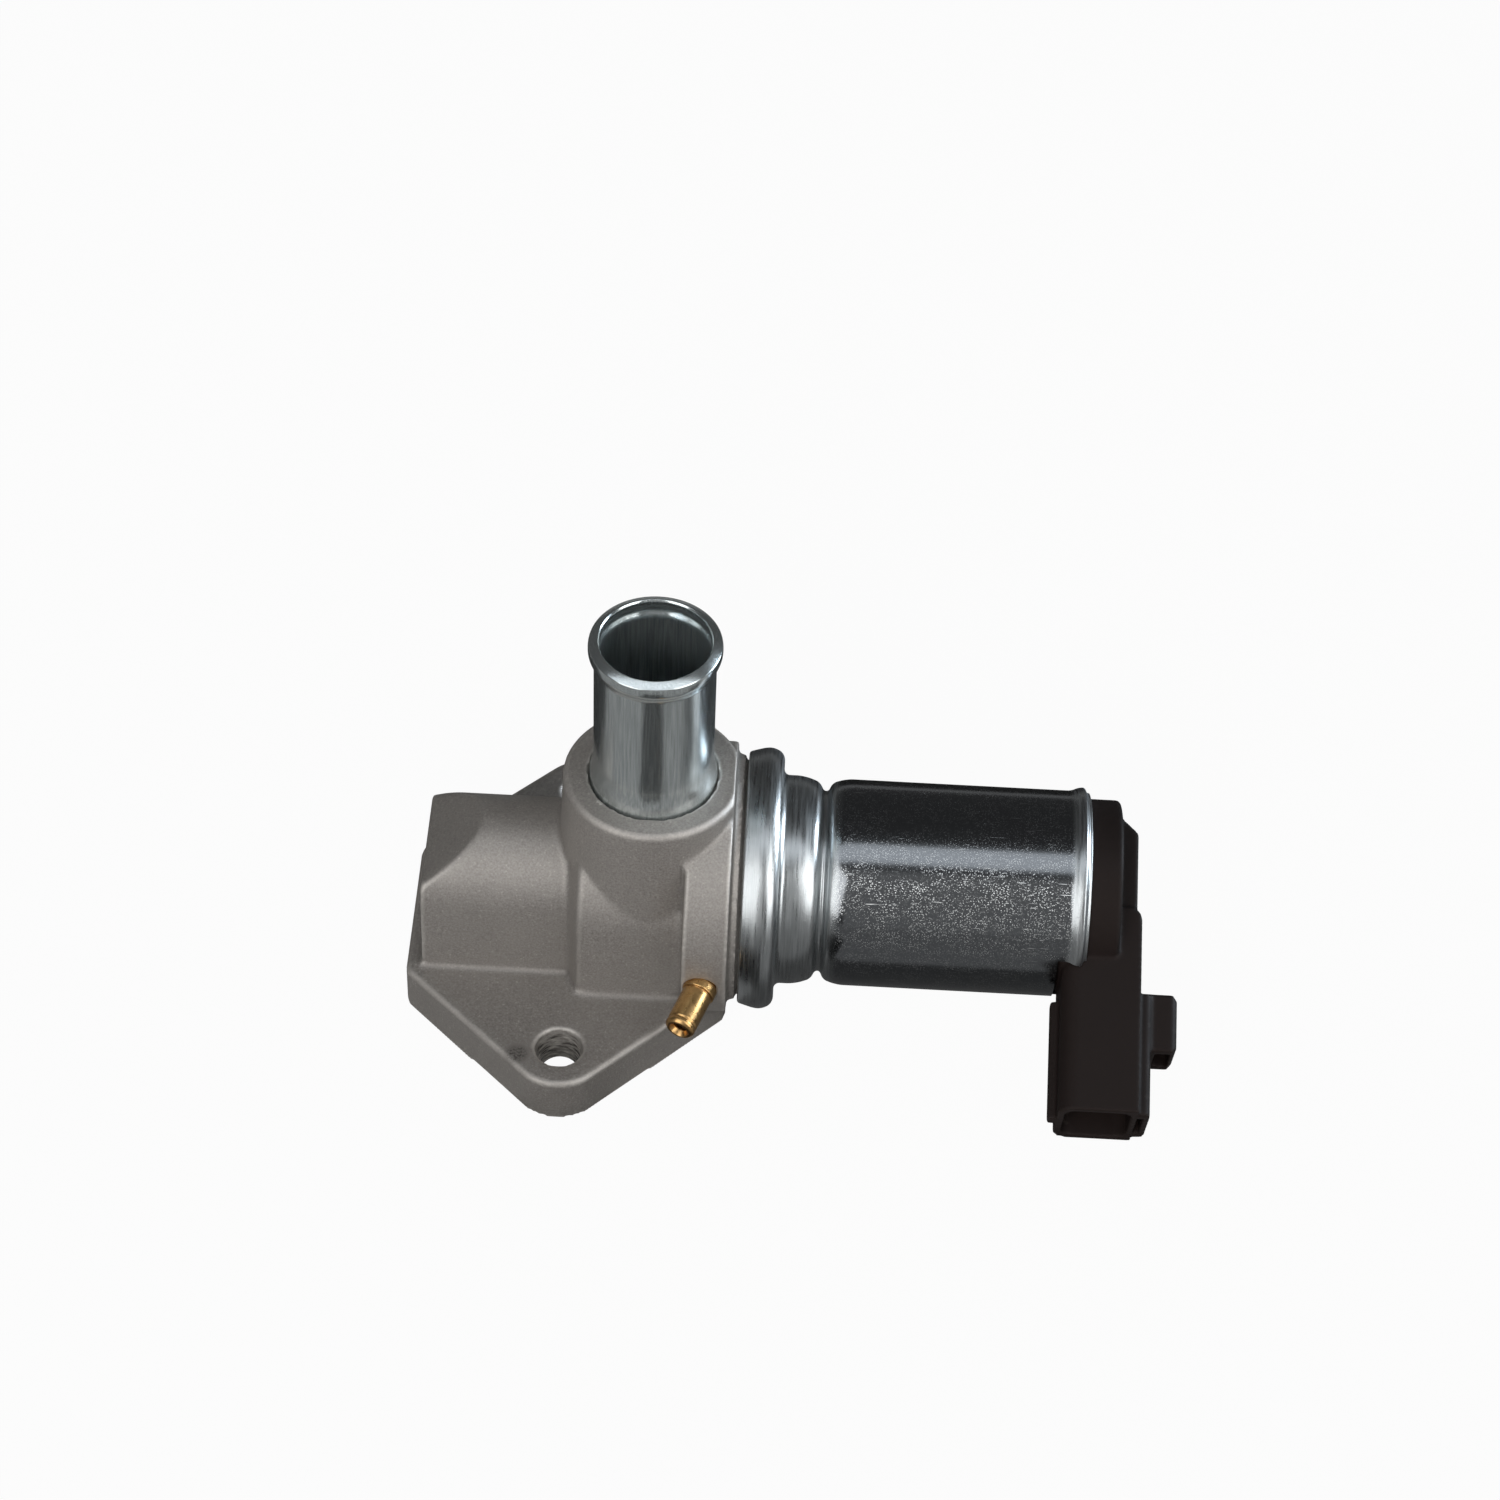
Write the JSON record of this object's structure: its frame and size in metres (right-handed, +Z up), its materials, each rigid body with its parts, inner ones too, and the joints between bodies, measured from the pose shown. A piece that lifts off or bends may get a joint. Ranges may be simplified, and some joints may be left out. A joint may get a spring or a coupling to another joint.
{
  "type": "idle air control valve",
  "caption": "Solenoid idle air valve: cast body with bolt flange, hose tube and vacuum nipple, crimped can, slanted plug connector and a sprung poppet plunger.",
  "frame": {"origin": "centre of the flange's mounting face, midway between its two bolt holes", "axes": "+Z up out of the mounting face along the hose tube, +X along the solenoid towards the connector, the bolt holes on Y"},
  "size_m": [0.136, 0.0818, 0.0819],
  "materials": {
    "cast_aluminium": "shot-blasted die casting, matt",
    "zinc_plated_tube": "bright zinc plate",
    "zinc_plated_can": "drawn and zinc plated, scuffed",
    "magnet_steel": "turned soft iron",
    "stainless_steel": "ground",
    "spring_steel": "drawn wire",
    "turned_aluminium": "turned",
    "brass": "turned",
    "bronze": "sintered",
    "copper_winding": "enamelled wire",
    "tinned_terminals": "tin plate",
    "black_nylon": "moulded, matt",
    "bobbin_plastic": "moulded",
    "black_rubber": "moulded"
  },
  "bodies": {
    "housing": {"valve_body": "cast_aluminium", "hose_tube": "zinc_plated_tube", "solenoid_can": "zinc_plated_can", "front_plate": "magnet_steel", "rear_plate": "magnet_steel", "pole_core": "magnet_steel", "return_spring": "spring_steel", "vacuum_nipple": "brass", "seat_ring": "brass", "guide_sleeve": "brass", "shim_washer": "brass", "front_bush": "bronze", "rear_bush": "bronze", "coil": "copper_winding", "terminals": "tinned_terminals", "end_cap": "black_nylon", "bobbin": "bobbin_plastic", "body_seal": "black_rubber", "rear_gasket": "black_rubber"},
    "plunger": {"armature": "magnet_steel", "valve_rod": "stainless_steel", "poppet": "turned_aluminium", "poppet_seal": "black_rubber", "poppet_clip": "stainless_steel"}
  },
  "joints": [
    {"name": "plunger_slide", "type": "slide", "parent": "housing", "child": "plunger", "axis": [1, 0, 0], "range_m": [0, 0.0045], "stiffness_N_per_m": 800, "springref_m": -0.0025, "deforming": ["return_spring"]}
  ]
}
